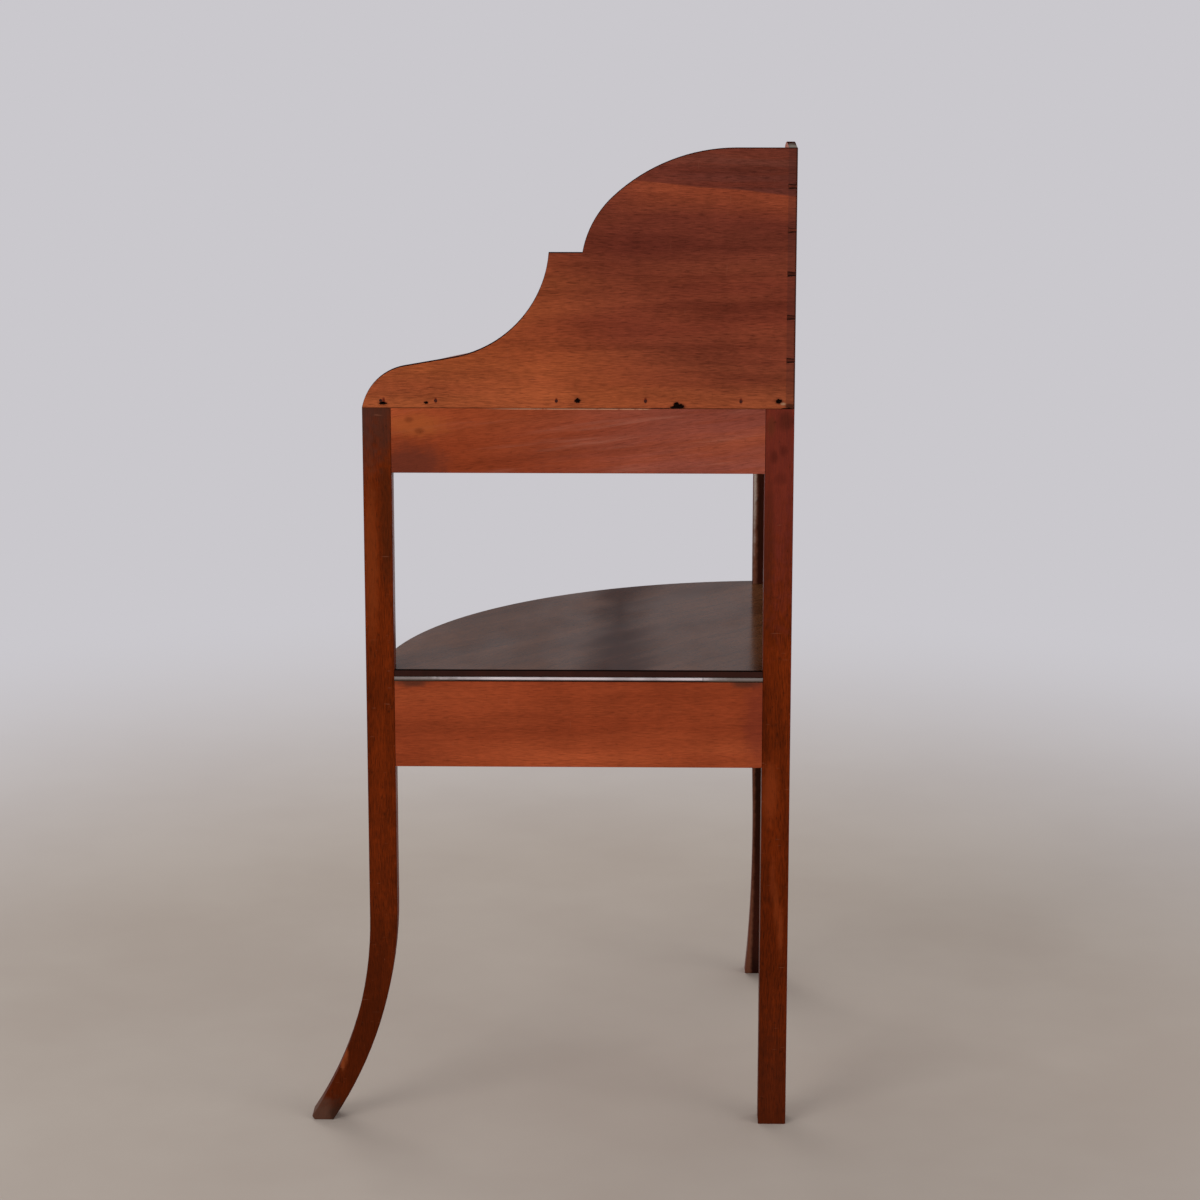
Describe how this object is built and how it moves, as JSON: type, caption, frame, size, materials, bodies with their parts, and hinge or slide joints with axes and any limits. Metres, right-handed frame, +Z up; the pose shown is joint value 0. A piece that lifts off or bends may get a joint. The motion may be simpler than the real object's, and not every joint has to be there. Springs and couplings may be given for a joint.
{
  "type": "corner washstand",
  "caption": "Bow-fronted corner washstand with shaped backboards, a pierced washtop, and a middle shelf over a small drawer, on splayed front legs.",
  "frame": {"origin": "on the floor, midway in X and in Y across the stand; the corner of the two walls is at x 0.2585, y -0.2585", "axes": "+Z up; the left wall lies along -Y, the right wall along +X, and the bowed front faces -X +Y"},
  "size_m": [0.517, 0.517, 1.06],
  "materials": {
    "mahogany_legs": "dark red-brown mahogany, old polish, grain upright",
    "mahogany_rails": "mahogany, dry back side, grain level",
    "mahogany_backboards": "mahogany board, orange-brown, worn polish",
    "mahogany_shelf": "dark polished mahogany",
    "mahogany_front": "polished mahogany front",
    "mahogany_bead": "dark glossy bead",
    "oak_lining": "bare oak",
    "pine_blocks": "bare pine",
    "brass": "aged turned brass",
    "iron": "dark old iron"
  },
  "bodies": {
    "stand": {"corner_post": "mahogany_legs", "leg_left": "mahogany_legs", "leg_right": "mahogany_legs", "upper_rail_left": "mahogany_rails", "upper_rail_right": "mahogany_rails", "mid_rail_left": "mahogany_rails", "mid_rail_right": "mahogany_rails", "backboard_left": "mahogany_backboards", "backboard_right": "mahogany_backboards", "washtop": "mahogany_shelf", "shelf_board": "mahogany_shelf", "frieze_front": "mahogany_front", "case_top_rail": "mahogany_front", "case_bottom": "mahogany_front", "front_panel_left": "mahogany_front", "front_panel_right": "mahogany_front", "shelf_bead_left": "mahogany_bead", "shelf_bead_left_short": "mahogany_bead", "shelf_bead_right": "mahogany_bead", "shelf_bead_front": "mahogany_bead", "panel_cockbead_left": "mahogany_bead", "panel_cockbead_right": "mahogany_bead", "washtop_blocks": "pine_blocks", "case_cleat_left": "pine_blocks", "case_cleat_right": "pine_blocks", "drawer_guide_left": "pine_blocks", "drawer_guide_right": "pine_blocks", "drawer_kicker_left": "pine_blocks", "drawer_kicker_right": "pine_blocks", "drawer_stops": "pine_blocks", "panel_knob_left": "brass", "panel_knob_right": "brass", "panel_knob_nut_left": "brass", "panel_knob_nut_right": "brass", "backboard_nails": "iron", "washtop_screws": "iron"},
    "drawer": {"drawer_front": "mahogany_front", "drawer_side_left": "oak_lining", "drawer_side_right": "oak_lining", "drawer_back": "oak_lining", "drawer_bottom": "oak_lining", "drawer_cockbead": "mahogany_bead", "drawer_knob": "brass", "drawer_knob_nut": "brass"}
  },
  "joints": [
    {"name": "drawer_slide", "type": "slide", "parent": "stand", "child": "drawer", "axis": [-0.7071, 0.7071, 0], "range_m": [0, 0.17]}
  ]
}
